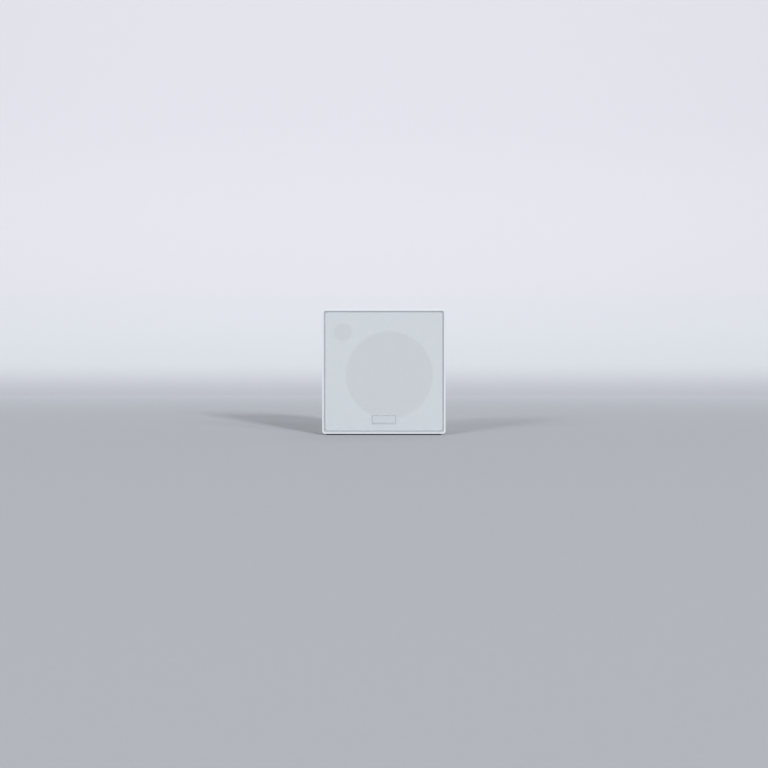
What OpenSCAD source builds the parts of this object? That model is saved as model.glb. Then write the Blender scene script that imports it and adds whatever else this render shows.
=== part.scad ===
/* Two-way surface-mount speaker: a shallow moulded cabinet with a cloth-covered grille set inside
   its rim, an off-centre woofer, a small tweeter in the upper left corner, and a recessed
   connector and wall-bracket inserts on the back. Millimetres. The front faces -Y, +X is to the
   right as seen from the front, +Z is up, and the origin is on the surface it stands on, under
   the middle of the cabinet. */

/* [Cabinet] */
// Width of the cabinet
body_w = 208.5; // [207:0.5:260]
// Height of the cabinet shell, without its feet
body_h = 210.5; // [209:0.5:260]
// Depth of the cabinet, rim to back
body_d = 110; // [105:1:160]
// Radius of the four long corners
corner_r = 4.5; // [4:0.5:8]
// Thickness of the side walls, seen as the rim round the grille
wall = 2.8; // [2.5:0.1:4]
// Thickness of the back wall
back_wall = 3.5; // [3:0.1:5]
// Height of the foot strips
foot_h = 2; // [1:0.5:6]
// Width of a foot strip, front to back
foot_w = 12; // [8:1:20]
// How far the foot strips stop short of each side
foot_inset = 8; // [6:1:40]

/* [Grille] */
// Open groove between the rim and the grille
groove = 2.3; // [1.5:0.1:4]
// Depth of the grille's face behind the rim
grille_set = 1.2; // [1:0.1:2]
// Thickness of the cloth as it lies
cloth_t = 0.6; // [0.4:0.1:1]
// Thickness of the grille board
board_t = 7; // [5:0.5:9]
// Radius of the board's front edge
board_edge = 1.6; // [1:0.2:3]
// Inset of the grille pegs from the board's edge
peg_inset = 8.5; // [8:0.5:10]
// Width of the badge
badge_w = 41.5; // [20:0.5:60]
// Height of the badge
badge_h = 15; // [8:1:20]
// Thickness of the badge
badge_t = 1; // [0.6:0.1:1]
// Height of the badge's centre above the cabinet's base
badge_z = 24.5; // [20:0.5:26]

/* [Woofer] */
// Distance of the woofer's centre to the right of the middle
woofer_x = 9.2; // [6:0.1:12]
// Height of the woofer's centre above the cabinet's base
woofer_z = 99.4; // [97:0.1:104]
// Diameter of the woofer's opening
woofer_d = 147; // [130:1:148]
// Width of the woofer's flange outside its opening
woofer_rim = 8.5; // [8:0.1:9]
// Depth of the cone from edge to neck
cone_depth = 19; // [15:0.5:22]
// Outer diameter of the woofer's magnet
magnet_d = 86; // [70:1:88]
// Height of the woofer's magnet
magnet_h = 14; // [10:1:18]
// Diameter of the woofer's voice coil
coil_d = 25.5; // [24:0.1:26]
// Greatest travel of the cone each way
cone_travel = 4; // [2:0.5:5]
// Number of screws round the woofer
woofer_bolts = 6; // [4:1:8]
// Number of spokes in the woofer's basket
spokes = 6; // [4:1:8]

/* [Tweeter] */
// Distance of the tweeter's centre to the left of the middle
tweeter_x = 69.3; // [69:0.1:72]
// Height of the tweeter's centre above the cabinet's base
tweeter_z = 171.8; // [171:0.1:175]
// Diameter of the tweeter's opening
tweeter_d = 32; // [30:1:33]
// Diameter of the tweeter's flange
tweeter_flange_d = 45; // [44:0.5:46]
// Diameter of the dome
dome_d = 25; // [24:0.5:26]

/* [Baffle] */
// Depth of the groove's floor behind the rim, which is the edge of the moulded baffle
tray_set = 2.8; // [2:0.2:8]
// Depth of the baffle's face behind the rim
baffle_set = 15; // [14:0.5:20]
// Thickness of the baffle
baffle_t = 10; // [9:0.5:14]

/* [Back] */
// Distance between the bracket inserts, side to side
insert_dx = 150; // [120:1:160]
// Distance between the bracket inserts, top to bottom
insert_dz = 100; // [80:1:130]
// Radius of the inserts' threaded hole
insert_bore_r = 2.5; // [2:0.1:3]
// Width of the terminal cup's flange
cup_w = 84; // [70:1:100]
// Height of the terminal cup's flange
cup_h = 62; // [50:1:70]
// Depth of the terminal cup
cup_depth = 18; // [15:0.5:20]
// Height of the cup's centre above the cabinet's base
cup_z = 60; // [55:1:70]
// Number of poles in the connector
poles = 4; // [2:1:4]

/* [Hidden] */

eps = 0.02;                              // thickness of the slices that a rounded block is drawn over
slip = 0.4;                              // gap round a panel that drops into the shell
fit = 0.1;                               // radial gap of glued and screwed round fits
soft_gap = 0.3;                          // gap between cloth and what it is drawn over
base_z = foot_h;                         // underside of the shell
mid_z = base_z + body_h / 2;
front = -body_d / 2;                     // the plane of the rim
inner_w = body_w - 2 * wall;
inner_h = body_h - 2 * wall;
inner_r = corner_r - wall / 2;
back_face = body_d - back_wall;          // depth of the back wall's inner face

grille_w = inner_w - 2 * groove;
grille_h = inner_h - 2 * groove;
board_set = grille_set + cloth_t + soft_gap;
board_back = board_set + board_t;
board_w = grille_w - 2 * (cloth_t + soft_gap);
board_h = grille_h - 2 * (cloth_t + soft_gap);
board_r = 3;

tray_gap = 0.4;                          // gap between the grille's side and the baffle's raised edge
baffle_back = baffle_set + baffle_t;
gasket_t = 1;
ledge_set = baffle_back + gasket_t;
ledge_w = 6;
ledge_t = 3;
boss_r = 4.5;
boss_l = 18;
boss_web = 7;                            // reach of the web that joins a boss to the wall
screw_r = 1.9;
head_r = 3.6;
head_t = 2;
edge_x = inner_w / 2 - 6;
edge_z = inner_h / 2 - 6;
side_low = -0.29 * inner_h;              // places of the baffle's screws along the four edges
side_high = 0.22 * inner_h;
bottom_out = 0.27 * inner_w;
top_out = 0.22 * inner_w;
baffle_fixings = [for (s = [-1, 1]) each [[s * edge_x, side_low], [s * edge_x, side_high],
    [s * bottom_out, -edge_z], [s * top_out, edge_z]]];
peg_x = board_w / 2 - peg_inset;
peg_z = board_h / 2 - peg_inset;
pegs = [for (x = [-1, 1], z = [-1, 1]) [x * peg_x, z * peg_z]];
peg_r = 2.6;
peg_shoulder_r = 4.4;
cloth_turn = peg_inset - peg_shoulder_r - 0.8;   // width of the cloth glued to the board's back
socket_r = 4;
socket_t = 1;
badge_rim = 1;                           // width of the badge's raised rim, and how deep its field lies
badge_sink = 0.3;

// Woofer: depths are counted back from the front of its flange
woofer_set = baffle_set - 0.5;
flange_t = 4;
seal_t = 0.8;
open_r = woofer_d / 2;
flange_r = open_r + woofer_rim;
land_w = 3;
land_t = 0.7;
step_t = 1.2;
roll_r = 5;
roll_outer = open_r - land_w;
roll_inner = roll_outer - 2 * roll_r;
cone_r = roll_inner;
cone_t = 0.9;
lip_w = 3;
neck_r = coil_d / 2 + 0.4;
neck_depth = step_t + cone_depth;
spider_depth = neck_depth + 6;
spider_t = 0.5;
spider_r = 46;
shelf_depth = spider_depth + spider_t;
basket_t = 2.2;
seat_depth = shelf_depth + 9.5;
seat_t = 2.4;
seat_r = 44;
plate_depth = seat_depth + seat_t;
top_plate_t = 5;
gap_r = coil_d / 2 + 1.55;
pole_r = coil_d / 2 - 0.45;
yoke_t = 5.5;
vent_r = 5;
magnet_depth = plate_depth + top_plate_t;
yoke_depth = magnet_depth + magnet_h;
winding_h = top_plate_t + 2 * cone_travel - 1;
winding_t = 0.6;
cap_r = 19.5;
cap_rise = 8;
bolt_circle = open_r + woofer_rim / 2;
window = 360 / spokes - 18;              // angle of one window in the basket
spider_steps = 48;
strip_depth = shelf_depth + basket_t;    // where the woofer's terminal strip stands
strip_z = -(spider_r + 5);

// Tweeter: depths are counted back from the front of its flange
tweeter_set = baffle_set - 0.5;
tweeter_flange_t = 3;
tweeter_open_r = tweeter_d / 2;
tweeter_flange_r = tweeter_flange_d / 2;
tweeter_skin = 0.4;
tweeter_cup_r = tweeter_flange_r - 4.5;
tweeter_gap_r = dome_d / 2 + 1.1;
tweeter_pole_r = dome_d / 2 - 0.4;
tweeter_face = tweeter_flange_t + 0.5;
tweeter_plate_t = 3;
tweeter_magnet_h = 5;
tweeter_base_t = 2.5;
tweeter_back = tweeter_face + tweeter_plate_t + tweeter_magnet_h + tweeter_base_t;
tweeter_bolt_r = tweeter_flange_r - 2.1;
tweeter_screw_r = 1.2;

// Terminal cup, counted back from the rim
cup_flange_t = 2;
cup_gasket_t = 0.8;
cup_t = 2;
cup_r = 8;
cup_border = 10;
cup_floor = body_d - cup_depth;
cup_pocket_w = cup_w - 2 * cup_border;
cup_pocket_h = cup_h - 2 * cup_border;
cup_screw_x = cup_w / 2 - 5.5;
cup_screw_z = cup_h / 2 - 5.5;
pole_pitch = 5.08;
pole_places = [for (i = [0 : poles - 1]) (i - (poles - 1) / 2) * pole_pitch];
header_w = poles * pole_pitch + 2.2;
header_h = 12;
header_l = 12;
header_t = 1.2;
pin_w = 1;
insert_r = 4;
insert_l = 12;
insert_boss_r = 7;
inserts = [for (x = [-1, 1], z = [-1, 1]) [x * insert_dx / 2, z * insert_dz / 2]];

// Crossover board on the cabinet's floor
pcb_w = 90;
pcb_l = 50;
pcb_t = 1.6;
pcb_set = back_face - pcb_l - 8;
pcb_stand = 7;
pcb_hole = 4;
pcb_z = base_z + wall + pcb_stand;
pcb_top = pcb_z + pcb_t;
pcb_corners = [for (x = [-1, 1], d = [0, 1]) [x * (pcb_w / 2 - pcb_hole),
    pcb_set + pcb_hole + d * (pcb_l - 2 * pcb_hole)]];
wire_r = 0.9;
coils = [[-22, 25, 14, 12], [8, 14, 10, 10]];    // x, distance along the board, radius, height
cans = [[31, 12, 6, 22], [31, 34, 8, 22]];       // x, distance along the board, radius, length
block = [20, 9, 9];                      // the resistor's size
block_at = [-34, 40.4];
rib_shares = [0.22, 0.5, 0.78];          // heights of the side walls' ribs, as shares of the shell's
rib_t = 2;
rib_out = 3.5;
screw_core_r = 1.3;                      // pilot holes of the small screws

shell_white = [0.87, 0.89, 0.91];
cloth_white = [0.80, 0.82, 0.85];
board_grey = [0.70, 0.71, 0.72];
rubber_black = [0.05, 0.05, 0.06];
steel = [0.62, 0.63, 0.65];
dark_steel = [0.22, 0.22, 0.24];
paper_grey = [0.33, 0.34, 0.36];
copper = [0.72, 0.42, 0.25];
brass = [0.78, 0.64, 0.34];
film_yellow = [0.85, 0.72, 0.25];
cement_white = [0.88, 0.87, 0.84];
spider_tan = [0.75, 0.60, 0.30];
board_green = [0.10, 0.32, 0.20];
felt_grey = [0.55, 0.55, 0.53];
wire_red = [0.75, 0.12, 0.12];
wire_black = [0.10, 0.10, 0.12];
wire_blue = [0.15, 0.25, 0.65];

// A flat shape in X and Z, carried back from one depth by a length
module slab(depth, length) {
    translate([0, front + depth + length, 0]) rotate([90, 0, 0]) linear_extrude(length) children();
}

// A profile of [radius, depth] points turned about an axis that runs front to back
module turned(x, z, depth, points, angle = 360) {
    translate([x, front + depth, z]) rotate([-90, 0, 0]) rotate_extrude(angle = angle, $fn = 96)
        polygon(points);
}

// A round rod along the depth, from one depth to another
module rod(x, z, from, to, r) {
    translate([x, front + to, z]) rotate([90, 0, 0]) cylinder(r = r, h = to - from, $fn = 48);
}

module rounded(w, h, r, sides = 64) {
    square([w - 2 * r, h], center = true);
    square([w, h - 2 * r], center = true);
    for (x = [-1, 1], z = [-1, 1]) translate([x * (w / 2 - r), z * (h / 2 - r)]) circle(r = r, $fn = sides);
}

module face_of(w, h, r, sides = 64) {
    translate([0, mid_z]) rounded(w, h, r, sides);
}

// A block of rounded outline whose front and back edges are rounded off too
module soft_block(w, h, r, depth, length, front_edge, back_edge) {
    hull() {
        slab(depth + front_edge, length - front_edge - back_edge) face_of(w, h, r, 32);
        for (a = [30 : 30 : 90]) {
            in_f = front_edge * (1 - cos(a));
            in_b = back_edge * (1 - cos(a));
            slab(depth + front_edge * (1 - sin(a)), eps) face_of(w - 2 * in_f, h - 2 * in_f, r - in_f, 32);
            slab(depth + length - eps - back_edge * (1 - sin(a)), eps)
                face_of(w - 2 * in_b, h - 2 * in_b, r - in_b, 32);
        }
    }
}

// A point along the smooth curve that a list of control points pulls into shape
function curve(p, t) = len(p) == 1 ? p[0]
    : curve([for (i = [0 : len(p) - 2]) (1 - t) * p[i] + t * p[i + 1]], t);

// A length of round wire along such a curve, as a tube of eight sides
wire_rings = 14;
wire_sides = 8;
module wire(points, r) {
    spine = [for (i = [0 : wire_rings]) curve(points, i / wire_rings)];
    rings = [for (i = [0 : wire_rings])
        let (way = spine[min(i + 1, wire_rings)] - spine[max(i - 1, 0)],
            u = cross(way, [1, 0, 0]) / norm(cross(way, [1, 0, 0])), v = cross(u, way) / norm(way))
        for (k = [0 : wire_sides - 1])
            let (a = k * 360 / wire_sides) spine[i] + r * (cos(a) * u + sin(a) * v)];
    last = wire_rings * wire_sides;
    sides = [for (i = [0 : wire_rings - 1], k = [0 : wire_sides - 1])
        let (a = i * wire_sides, n = (k + 1) % wire_sides)
        [a + k, a + n, a + wire_sides + n, a + wire_sides + k]];
    polyhedron(rings, concat([[for (k = [wire_sides - 1 : -1 : 0]) k]], sides,
        [[for (k = [0 : wire_sides - 1]) last + k]]));
}

function at(x, depth, z) = [x, front + depth, z];
function ring(r_in, r_out, d0, d1) = [[r_in, d0], [r_out, d0], [r_out, d1], [r_in, d1]];

module cabinet() color(shell_white) difference() {
    union() {
        difference() {
            soft_block(body_w, body_h, corner_r, 0, body_d, 0.8, 3);
            slab(-1, back_face + 1) face_of(inner_w, inner_h, inner_r);
        }
        // the ledge that the baffle is screwed down on, and its bosses
        slab(ledge_set, ledge_t) difference() {
            face_of(inner_w + 1, inner_h + 1, inner_r);
            face_of(inner_w - 2 * ledge_w, inner_h - 2 * ledge_w, 2);
        }
        for (p = baffle_fixings) {
            rod(p.x, mid_z + p.y, ledge_set, ledge_set + boss_l, boss_r);
            slab(ledge_set, boss_l) translate([p.x, mid_z + p.y])
                if (abs(p.x) > edge_x - 1) translate([p.x < 0 ? -boss_web : 0, -boss_r])
                    square([boss_web, 2 * boss_r]);
                else translate([-boss_r, p.y < 0 ? -boss_web : 0]) square([2 * boss_r, boss_web]);
        }
        for (p = inserts) {
            rod(p.x, mid_z + p.y, back_face - insert_l, back_face + 1, insert_boss_r);
            for (a = [0, 90]) slab(back_face - insert_l + 3, insert_l - 2)
                translate([p.x, mid_z + p.y]) rotate(a) square([2 * insert_boss_r + 10, 2], center = true);
        }
        // a thicker pad round the terminal cup's opening
        slab(back_face - 3, 4) translate([0, base_z + cup_z]) rounded(cup_w + 8, cup_h + 8, cup_r + 4);
        for (p = pcb_corners) translate([p.x, front + p.y, base_z + wall - 1])
            cylinder(r = 3.5, h = pcb_stand + 1, $fn = 32);
        // stiffening ribs across the side walls
        for (s = [-1, 1], z = rib_shares) slab(ledge_set + 1, back_face - ledge_set)
            translate([s * (inner_w / 2 - rib_out / 2 + 0.25), base_z + z * body_h])
                square([rib_out + 0.5, rib_t], center = true);
    }
    for (p = baffle_fixings) rod(p.x, mid_z + p.y, ledge_set - 1, ledge_set + boss_l - 4, screw_r + fit);
    for (p = inserts) {
        rod(p.x, mid_z + p.y, back_face - insert_l + 1.5, body_d + 1, insert_r - 0.7);
        rod(p.x, mid_z + p.y, body_d - insert_l, body_d + 1, insert_r + fit);
    }
    slab(body_d - cup_flange_t - cup_gasket_t, 10) translate([0, base_z + cup_z])
        rounded(cup_w + slip, cup_h + slip, cup_r + slip / 2);
    slab(back_face - 10, 20) translate([0, base_z + cup_z])
        rounded(cup_pocket_w + 2 * cup_t + 1, cup_pocket_h + 2 * cup_t + 1, 4);
    for (x = [-1, 1], z = [-1, 1])
        rod(x * cup_screw_x, base_z + cup_z + z * cup_screw_z, back_face - 10, body_d, screw_core_r);
    for (p = pcb_corners) translate([p.x, front + p.y, base_z + wall + 1])
        cylinder(r = screw_core_r, h = pcb_stand + 1, $fn = 24);
}

module feet() color(rubber_black)
    for (d = [2, body_d - foot_w - 2]) translate([0, front + d + foot_w / 2, 0])
        linear_extrude(foot_h) rounded(body_w - 2 * foot_inset, foot_w, 2);

module threaded_inserts() color(brass) for (p = inserts) difference() {
    rod(p.x, mid_z + p.y, body_d - insert_l, body_d - 0.2, insert_r);
    rod(p.x, mid_z + p.y, body_d - insert_l - 1, body_d + 1, insert_bore_r);
    for (d = [4, 8]) difference() {
        rod(p.x, mid_z + p.y, body_d - d - 0.6, body_d - d, insert_r + 1);
        rod(p.x, mid_z + p.y, body_d - d - 1, body_d - d + 1, insert_r - 0.5);
    }
}

module grille_cloth() color(cloth_white) difference() {
    soft_block(grille_w, grille_h, board_r + cloth_t + soft_gap, grille_set,
        board_back + soft_gap + cloth_t - grille_set, board_edge + cloth_t, 0.8);
    soft_block(board_w + 2 * soft_gap, board_h + 2 * soft_gap, board_r + soft_gap, board_set - soft_gap,
        board_t + 2 * soft_gap, board_edge, 0.4);
    slab(board_back, 5) face_of(board_w - 2 * cloth_turn, board_h - 2 * cloth_turn, 1);
}

module grille_board() color(board_grey) difference() {
    soft_block(board_w, board_h, board_r, board_set, board_t, board_edge, 0.5);
    turned(woofer_x, base_z + woofer_z, board_set, [[0, -1], [open_r + 2, -1], [open_r, 1.5],
        [open_r, board_t - 1], [open_r + 2, board_t + 1], [0, board_t + 1]]);
    turned(-tweeter_x, base_z + tweeter_z, board_set, [[0, -1], [tweeter_open_r, -1],
        [tweeter_open_r, board_t - 3], [tweeter_open_r + 3, board_t + 1], [0, board_t + 1]]);
    for (p = pegs) rod(p.x, mid_z + p.y, board_back - 4, board_back + 1, peg_r + fit);
}

module grille_pegs() color(rubber_black) for (p = pegs) {
    rod(p.x, mid_z + p.y, board_back - 3.9, baffle_set + 5, peg_r);
    rod(p.x, mid_z + p.y, board_back, baffle_set - socket_t, peg_shoulder_r);
}

module peg_sockets() color(dark_steel) for (p = pegs)
    turned(p.x, mid_z + p.y, baffle_set, [[peg_r + fit, -socket_t], [socket_r + 1.5, -socket_t],
        [socket_r + 1.5, 0], [socket_r, 0], [socket_r, 7], [0, 7], [0, 6], [peg_r + fit, 6]]);

module badge() color(shell_white) difference() {
    slab(grille_set - badge_t, badge_t) translate([0, base_z + badge_z])
        rounded(badge_w, badge_h, 2);
    slab(grille_set - badge_t - 1, 1 + badge_sink) translate([0, base_z + badge_z])
        rounded(badge_w - 2 * badge_rim, badge_h - 2 * badge_rim, 1.2);
}

module baffle() color(shell_white) difference() {
    union() {
        slab(baffle_set, baffle_t) face_of(inner_w - slip, inner_h - slip, inner_r - slip / 2);
        // the raised edge that stands round the grille and floors the groove
        slab(tray_set, baffle_set - tray_set + 1) difference() {
            face_of(inner_w - slip, inner_h - slip, inner_r - slip / 2);
            face_of(grille_w + 2 * tray_gap, grille_h + 2 * tray_gap, board_r + 1);
        }
    }
    rod(woofer_x, base_z + woofer_z, baffle_set - 1, woofer_set + flange_t + seal_t, flange_r + slip);
    rod(woofer_x, base_z + woofer_z, baffle_set, baffle_back + 1, open_r + 0.5);
    rod(-tweeter_x, base_z + tweeter_z, baffle_set - 1, tweeter_set + tweeter_flange_t,
        tweeter_flange_r + slip);
    rod(-tweeter_x, base_z + tweeter_z, baffle_set, baffle_back + 1, tweeter_cup_r + 0.5);
    for (i = [0 : woofer_bolts - 1]) rotate_about(woofer_x, base_z + woofer_z, i * 360 / woofer_bolts + 30)
        rod(bolt_circle, 0, baffle_set, baffle_back + 1, screw_r + fit);
    for (i = [0 : 2]) rotate_about(-tweeter_x, base_z + tweeter_z, i * 120 + 90)
        rod(tweeter_bolt_r, 0, baffle_set, baffle_back + 1, tweeter_screw_r + fit);
    for (p = pegs) rod(p.x, mid_z + p.y, baffle_set - 1, baffle_back + 1, socket_r + fit);
    for (p = baffle_fixings) {
        rod(p.x, mid_z + p.y, baffle_set - 1, baffle_back + 1, screw_r + fit);
        rod(p.x, mid_z + p.y, baffle_set - 1, baffle_set + head_t + 1, head_r + 0.4);
    }
}

module rotate_about(x, z, a) {
    translate([x, 0, z]) rotate([0, a, 0]) children();
}

module baffle_gasket() color(rubber_black) slab(baffle_back, gasket_t) difference() {
    face_of(inner_w - 2 * slip, inner_h - 2 * slip, inner_r - slip);
    face_of(inner_w - 2 * ledge_w, inner_h - 2 * ledge_w, 2);
    for (p = baffle_fixings) translate([p.x, mid_z + p.y]) circle(r = screw_r + 0.6, $fn = 32);
}

module screw(x, z, head_depth, length, r, r_head, t_head) {
    difference() {
        union() {
            turned(x, z, head_depth, [[0, -0.4 * t_head], [0.55 * r_head, -0.25 * t_head],
                [0.9 * r_head, 0.2 * t_head], [r_head, 0.6 * t_head], [r_head, t_head], [0, t_head]]);
            rod(x, z, head_depth + t_head, head_depth + t_head + length, r);
        }
        for (a = [0, 90]) translate([x, front + head_depth, z]) rotate([0, a + 20, 0])
            cube([1.1 * r_head, t_head, 0.28 * r_head], center = true);
    }
}

module baffle_screws() color(dark_steel) for (p = baffle_fixings)
    screw(p.x, mid_z + p.y, baffle_set + 1, baffle_t + 8, screw_r, head_r, head_t);

module woofer_at() {
    translate([woofer_x, 0, base_z + woofer_z]) children();
}

module woofer_turned(points, angle = 360) {
    turned(woofer_x, base_z + woofer_z, woofer_set, points, angle);
}

module woofer_basket() color(dark_steel) difference() {
    woofer_turned([[open_r, 0], [flange_r, 0], [flange_r, flange_t], [open_r, flange_t],
        [spider_r + 5, shelf_depth - 1], [spider_r + 5, shelf_depth + basket_t],
        [seat_r, shelf_depth + basket_t], [seat_r, plate_depth], [gap_r + 0.7, plate_depth],
        [gap_r + 0.7, seat_depth], [seat_r - basket_t, seat_depth], [seat_r - basket_t, shelf_depth],
        [spider_r + 5 - basket_t, shelf_depth], [roll_outer - 0.3, flange_t + 0.6],
        [roll_outer - 0.3, step_t], [open_r, step_t]]);
    // windows between the spokes
    woofer_at() for (i = [0 : spokes - 1]) rotate([0, 90 - window / 2 + i * 360 / spokes, 0])
        intersection() {
            turned(0, 0, woofer_set, ring(spider_r + 0.5, open_r + 4, flange_t + 4, shelf_depth - 4));
            wedge(window, open_r + 5);
        }
    // vents in the wall of the motor seat, under the spider
    woofer_at() for (i = [0 : spokes - 1]) rotate([0, (i + 0.5) * 360 / spokes, 0])
        translate([seat_r - basket_t - 2, front + woofer_set + (shelf_depth + seat_depth) / 2 + 1.5, 0])
            rotate([0, 90, 0]) cylinder(r = 2.5, h = basket_t + 4, $fn = 32);
    for (i = [0 : woofer_bolts - 1]) rotate_about(woofer_x, base_z + woofer_z, i * 360 / woofer_bolts + 30)
        rod(bolt_circle, 0, woofer_set - 1, woofer_set + flange_t + 1, screw_r + 0.4);
}

// A wedge about the front-to-back axis, from the +X side round by an angle
module wedge(angle, r) {
    translate([0, front, 0]) rotate([-90, 0, 0]) rotate_extrude(angle = angle, $fn = 96)
        translate([0, -1]) square([r, body_d]);
}

module woofer_gasket() color(rubber_black) difference() {
    woofer_turned(ring(open_r + 0.7, flange_r, flange_t, flange_t + seal_t));
    for (i = [0 : woofer_bolts - 1]) rotate_about(woofer_x, base_z + woofer_z, i * 360 / woofer_bolts + 30)
        rod(bolt_circle, 0, woofer_set, woofer_set + flange_t + 3, screw_r + 0.6);
}

// A half roll between two flat lands, with the land's top at one depth
function half_roll(r_in, r_out, w_in, w_out, t, top) =
    let (mid = (r_in + r_out) / 2, big = (r_out - r_in) / 2 + t / 2, small = big - t)
    concat([[r_in - w_in, top + t], [r_in - w_in, top]],
        [for (a = [0 : 12 : 180]) [mid - big * cos(a), top + t - big * sin(a)]],
        [[r_out + w_out, top], [r_out + w_out, top + t]],
        [for (a = [180 : -12 : 0]) [mid - small * cos(a), top + t - small * sin(a)]]);

module woofer_surround() color(rubber_black)
    woofer_turned(half_roll(roll_inner, roll_outer, lip_w, land_w - fit, land_t, step_t - land_t));

// Depth of the cone's front at a radius: a slope that flattens slightly towards the edge
function cone_front(r) = let (u = (cone_r - lip_w - r) / (cone_r - lip_w - neck_r))
    step_t + cone_depth * (0.82 * u + 0.18 * u * u);

module woofer_cone() color(paper_grey) {
    steps = 12;
    radii = [for (i = [0 : steps]) cone_r - lip_w + (neck_r - cone_r + lip_w) * i / steps];
    woofer_turned(concat([[cone_r, step_t]], [for (r = radii) [r, cone_front(r)]],
        [[neck_r, neck_depth + 2.5], [neck_r + 0.7, neck_depth + 2.5]],
        [for (i = [steps - 1 : -1 : 0]) [radii[i], cone_front(radii[i]) + cone_t]],
        [[cone_r, step_t + cone_t]]));
}

// Points along the crown of a ball, from its top out to an angle, as [radius, depth]
function cap_arc(r, half, centre) =
    [for (i = [0 : 8]) [r * sin(half * i / 8), centre - r * cos(half * i / 8)]];

module woofer_dust_cap() color(paper_grey) {
    rim = cone_front(cap_r) - 0.45;
    ball = (cap_r * cap_r + cap_rise * cap_rise) / (2 * cap_rise);
    half = asin(cap_r / ball);
    outer = cap_arc(ball, half, rim - cap_rise + ball);
    inner = cap_arc(ball - 0.5, half, rim - cap_rise + ball);
    woofer_turned(concat(outer, [for (i = [8 : -1 : 0]) inner[i]]));
}

module woofer_former() color(brass)
    woofer_turned(ring(coil_d / 2, coil_d / 2 + 0.3, neck_depth - 1, magnet_depth + 4));

module woofer_voice_coil() color(copper)
    woofer_turned(ring(coil_d / 2 + 0.3, coil_d / 2 + 0.3 + winding_t,
        magnet_depth - top_plate_t / 2 - winding_h / 2, magnet_depth - top_plate_t / 2 + winding_h / 2));

// Height of the spider's corrugations, which leave a flat land at each edge
function spider_wave(i) = i < 3 || i > spider_steps - 6 ? 0 : 0.9 * sin(i * 60);

module woofer_spider() color(spider_tan) {
    r0 = coil_d / 2 + 0.4;
    steps = spider_steps;
    pts = [for (i = [0 : steps]) [r0 + (spider_r - r0) * i / steps, spider_depth + spider_wave(i)]];
    woofer_turned(concat(pts, [for (i = [steps : -1 : 0]) [pts[i].x, pts[i].y + spider_t]]));
}

module woofer_top_plate() color(steel)
    woofer_turned(ring(gap_r, magnet_d / 2 - 2, plate_depth, magnet_depth));

module woofer_magnet() color(dark_steel)
    woofer_turned([[pole_r + 9, magnet_depth], [magnet_d / 2 - 1, magnet_depth],
        [magnet_d / 2, magnet_depth + 1], [magnet_d / 2, yoke_depth - 1],
        [magnet_d / 2 - 1, yoke_depth], [pole_r + 9, yoke_depth]]);

module woofer_yoke() color(steel)
    woofer_turned([[vent_r, plate_depth - 0.5], [pole_r - 0.6, plate_depth - 0.5],
        [pole_r, plate_depth + 0.3], [pole_r, yoke_depth], [magnet_d / 2 - 2, yoke_depth],
        [magnet_d / 2 - 2, yoke_depth + yoke_t - 1.5],
        [magnet_d / 2 - 3.5, yoke_depth + yoke_t], [vent_r + 2, yoke_depth + yoke_t],
        [vent_r, yoke_depth + yoke_t - 2]]);

// The strip stands on the back of the basket's shelf, under its lowest spoke
module woofer_terminals() color(brass) woofer_at() {
    translate([0, front + woofer_set + strip_depth, strip_z]) {
        translate([-12, 0, 0]) cube([24, 1.5, 6.5]);
        for (s = [-1, 1]) translate([s * 8 - 2.4, 0.3, -6]) cube([4.8, 0.8, 8]);
    }
}

module woofer_tinsel_leads() color(copper) for (s = [-1, 1])
    wire([at(woofer_x + s * 8, woofer_set + strip_depth, base_z + woofer_z + strip_z - 5),
        at(woofer_x + s * 8, woofer_set + neck_depth - 5, base_z + woofer_z + strip_z - 9),
        at(woofer_x + s * 6, woofer_set + neck_depth + 2, base_z + woofer_z - 30),
        at(woofer_x + s * 6, woofer_set + cone_front(19) + cone_t + 0.9, base_z + woofer_z - 18)], 0.5);

module woofer_screws() color(dark_steel)
    for (i = [0 : woofer_bolts - 1]) rotate_about(woofer_x, base_z + woofer_z, i * 360 / woofer_bolts + 30)
        screw(bolt_circle, 0, woofer_set - head_t, flange_t + 6, screw_r, head_r, head_t);

module tweeter_turned(points) {
    turned(-tweeter_x, base_z + tweeter_z, tweeter_set, points);
}

module tweeter_flange() color(rubber_black) difference() {
    tweeter_turned([[tweeter_open_r, 0.6], [tweeter_open_r + 1.2, 0], [tweeter_flange_r - 0.8, 0],
        [tweeter_flange_r, 0.8], [tweeter_flange_r, tweeter_flange_t],
        [tweeter_open_r - 0.2, tweeter_flange_t], [tweeter_open_r - 0.2, 1.6]]);
    for (i = [0 : 2]) rotate_about(-tweeter_x, base_z + tweeter_z, i * 120 + 90)
        rod(tweeter_bolt_r, 0, tweeter_set - 1, tweeter_set + 5, tweeter_screw_r + 0.2);
}

module tweeter_surround() color(rubber_black)
    tweeter_turned(half_roll(dome_d / 2 + 0.8, tweeter_open_r - 0.6, 0.7, tweeter_cup_r - tweeter_open_r,
        tweeter_skin, tweeter_flange_t));

module tweeter_dome() color(dark_steel) {
    r = dome_d / 2;
    rise = 5;
    ball = (r * r + rise * rise) / (2 * rise);
    half = asin(r / ball);
    base = tweeter_flange_t + tweeter_skin;
    outer = cap_arc(ball, half, base - rise + ball);
    inner = cap_arc(ball - tweeter_skin, half, base - rise + ball);
    tweeter_turned(concat(outer, [[r + 0.75, base], [r + 0.75, base + tweeter_skin],
        [inner[8].x, base + tweeter_skin]], [for (i = [8 : -1 : 0]) inner[i]]));
}

module tweeter_coil() color(copper)
    tweeter_turned(ring(dome_d / 2, dome_d / 2 + 0.6, tweeter_face + 0.3,
        tweeter_face + tweeter_plate_t + 2));

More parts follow.
